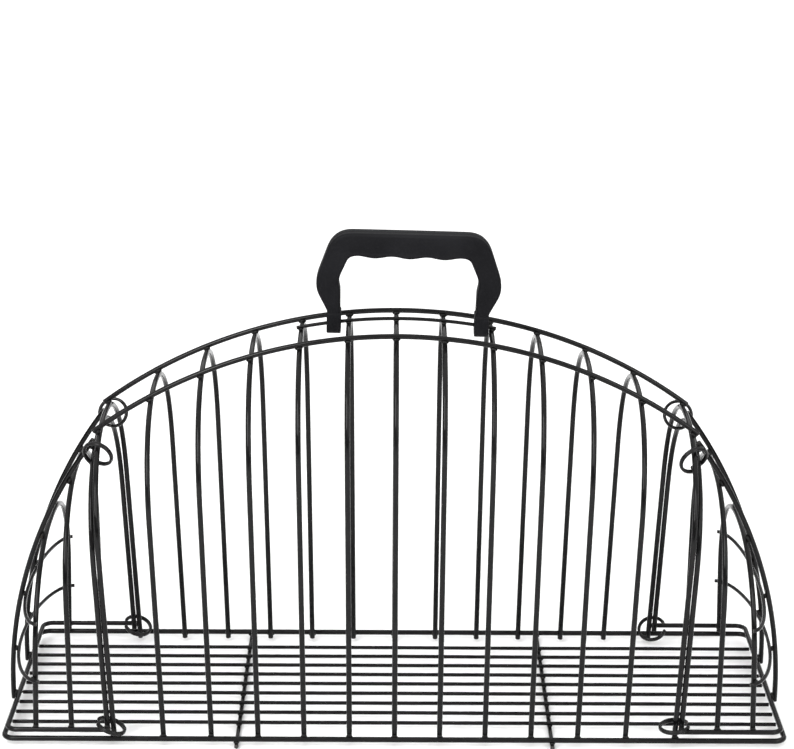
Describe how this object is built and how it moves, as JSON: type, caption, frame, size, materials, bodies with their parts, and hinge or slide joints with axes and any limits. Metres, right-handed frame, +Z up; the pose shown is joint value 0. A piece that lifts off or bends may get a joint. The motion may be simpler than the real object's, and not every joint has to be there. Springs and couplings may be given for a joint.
{
  "type": "live catch trap",
  "caption": "Loaf-shaped welded wire cage on a flat wire floor, with a hinged wire hood at each end, split-ring hinges and latches, and a moulded carry handle.",
  "frame": {"origin": "on the ground, under the middle of the floor, at the height of the undersides of the two cross bars that the trap stands on", "axes": "+X along the cage toward its right end, +Y across it toward the rear, +Z up"},
  "size_m": [0.5264, 0.187, 0.3316],
  "materials": {
    "wire_coat": "glossy black coat over drawn steel wire, with thin runs and light grain",
    "ring_coat": "glossy black coat on split rings",
    "handle_plastic": "fine-grained matte black moulded plastic"
  },
  "bodies": {
    "cage": {"body_arch_front": "wire_coat", "body_arch_rear": "wire_coat", "body_hoop_01": "wire_coat", "body_hoop_02": "wire_coat", "body_hoop_03": "wire_coat", "body_hoop_04": "wire_coat", "body_hoop_05": "wire_coat", "body_hoop_06": "wire_coat", "body_hoop_07": "wire_coat", "body_hoop_08": "wire_coat", "body_hoop_09": "wire_coat", "body_hoop_10": "wire_coat", "body_hoop_11": "wire_coat", "body_hoop_12": "wire_coat", "body_hoop_13": "wire_coat", "cross_bar_left": "wire_coat", "cross_bar_right": "wire_coat", "floor_frame": "wire_coat", "floor_wire_1": "wire_coat", "floor_wire_2": "wire_coat", "floor_wire_3": "wire_coat", "floor_wire_4": "wire_coat", "floor_wire_5": "wire_coat", "floor_wire_6": "wire_coat", "floor_wire_7": "wire_coat", "floor_wire_8": "wire_coat", "floor_wire_9": "wire_coat", "handle_rail": "wire_coat", "hinge_ring_left_front": "ring_coat", "hinge_ring_left_rear": "ring_coat", "hinge_ring_right_front": "ring_coat", "hinge_ring_right_rear": "ring_coat"},
    "left_hood": {"hood_left_base_rail": "wire_coat", "hood_left_front_arc": "wire_coat", "hood_left_inner_hoop": "wire_coat", "hood_left_lower_brace": "wire_coat", "hood_left_middle_hoop": "wire_coat", "hood_left_outer_hoop": "wire_coat", "hood_left_rear_arc": "wire_coat", "hood_left_upper_brace": "wire_coat"},
    "right_hood": {"hood_right_base_rail": "wire_coat", "hood_right_front_arc": "wire_coat", "hood_right_inner_hoop": "wire_coat", "hood_right_lower_brace": "wire_coat", "hood_right_middle_hoop": "wire_coat", "hood_right_outer_hoop": "wire_coat", "hood_right_rear_arc": "wire_coat", "hood_right_upper_brace": "wire_coat"},
    "handle": {"carry_handle": "handle_plastic"},
    "latch_ring_left_front_body": {"latch_ring_left_front": "ring_coat"},
    "latch_ring_left_rear_body": {"latch_ring_left_rear": "ring_coat"},
    "latch_ring_right_front_body": {"latch_ring_right_front": "ring_coat"},
    "latch_ring_right_rear_body": {"latch_ring_right_rear": "ring_coat"}
  },
  "joints": [
    {"name": "left_hood_hinge", "type": "hinge", "parent": "cage", "child": "left_hood", "pos_m": [-0.1993, 0, 0.187], "axis": [0, 1, 0], "range_deg": [0, 105]},
    {"name": "right_hood_hinge", "type": "hinge", "parent": "cage", "child": "right_hood", "pos_m": [0.1993, 0, 0.187], "axis": [0, -1, 0], "range_deg": [0, 105]},
    {"name": "handle_swing", "type": "hinge", "parent": "cage", "child": "handle", "pos_m": [0.00742, 0, 0.26771], "axis": [0.9997, 0, -0.0224], "range_deg": [-75, 75]},
    {"name": "latch_ring_left_front_turn", "type": "hinge", "parent": "cage", "child": "latch_ring_left_front_body", "pos_m": [-0.1886, -0.083, 0.0125], "axis": [0.3746, 0, 0.9272], "range_deg": [0, 90]},
    {"name": "latch_ring_left_rear_turn", "type": "hinge", "parent": "cage", "child": "latch_ring_left_rear_body", "pos_m": [-0.1882, 0.083, 0.0116], "axis": [0.309, -0.2939, 0.9045], "range_deg": [0, 90]},
    {"name": "latch_ring_right_front_turn", "type": "hinge", "parent": "cage", "child": "latch_ring_right_front_body", "pos_m": [0.1862, -0.083, 0.0139], "axis": [-0.1045, 0, 0.9945], "range_deg": [0, 90]},
    {"name": "latch_ring_right_rear_turn", "type": "hinge", "parent": "cage", "child": "latch_ring_right_rear_body", "pos_m": [0.1892, 0.083, 0.0109], "axis": [-0.2079, -0.547, 0.8109], "range_deg": [0, 90]}
  ]
}
